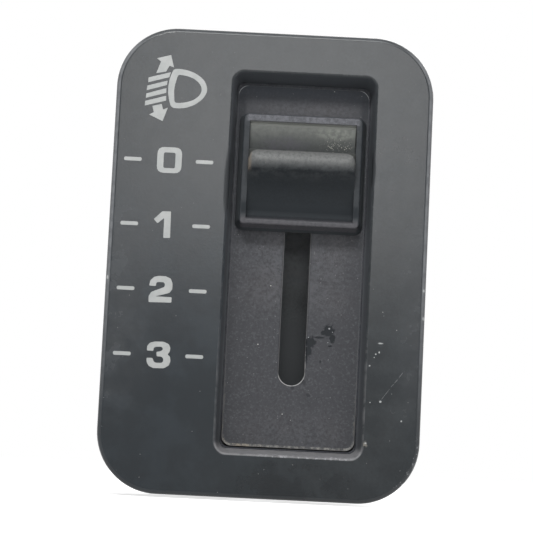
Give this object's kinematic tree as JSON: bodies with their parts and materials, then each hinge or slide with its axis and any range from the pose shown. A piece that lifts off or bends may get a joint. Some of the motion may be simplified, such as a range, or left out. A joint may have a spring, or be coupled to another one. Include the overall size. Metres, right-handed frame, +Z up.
{
  "type": "headlight leveling switch",
  "caption": "Portrait dashboard slide switch: rounded faceplate with a window, ridged thumb knob on a slotted track beside a 0 to 3 scale, and a clip-in case with a blade socket behind.",
  "frame": {"origin": "centre of the faceplate's rear seat, the plane that lies on the panel", "axes": "+Z up, +X to the viewer's right, +Y into the panel; the face looks towards -Y"},
  "size_m": [0.043, 0.0391, 0.063],
  "materials": {
    "bezel_plastic": "fine spark-eroded grain, worn dull",
    "case_plastic": "fine grain, dull",
    "cover_plastic": "plain moulded, satin",
    "knob_plastic": "satin, polished by use",
    "slide_plastic": "natural acetal, satin",
    "spring_steel": "bright rolled strip",
    "zinc_steel": "zinc plated",
    "bronze": "rolled phosphor bronze",
    "laminate": "resin bonded paper board under a dark lacquer",
    "copper": "tinned and wiped copper",
    "resistor_coat": "lacquered body with colour rings",
    "solder": "smooth tin solder",
    "tinned_brass": "tin plated brass",
    "clear_acrylic": "polished clear acrylic",
    "holder_plastic": "heat-proof thermoplastic",
    "lamp_envelope": "clear glass",
    "tungsten": "drawn wire",
    "nickel_wire": "drawn wire"
  },
  "bodies": {
    "case": {"faceplate": "bezel_plastic", "housing": "case_plastic", "rear_cover": "cover_plastic", "cover_screws": "zinc_steel", "contact_board": "laminate", "common_track": "copper", "step_pads": "copper", "ladder_resistors": "resistor_coat", "solder_joints": "solder", "supply_terminal": "tinned_brass", "signal_terminal": "tinned_brass", "lamp_terminal": "tinned_brass", "ground_terminal": "tinned_brass", "light_guide": "clear_acrylic", "lamp_holder": "holder_plastic", "lamp_contacts": "bronze", "lamp_glass": "lamp_envelope", "lamp_filament": "tungsten", "lamp_leads": "nickel_wire", "panel_clip_upper": "spring_steel", "panel_clip_lower": "spring_steel"},
    "slider": {"knob": "knob_plastic", "carriage": "slide_plastic", "detent_leaf": "spring_steel", "wiper": "bronze"}
  },
  "joints": [
    {"name": "knob_slide", "type": "slide", "parent": "case", "child": "slider", "axis": [0, 0, -1], "range_m": [0, 0.02628], "deforming": ["detent_leaf"]}
  ]
}
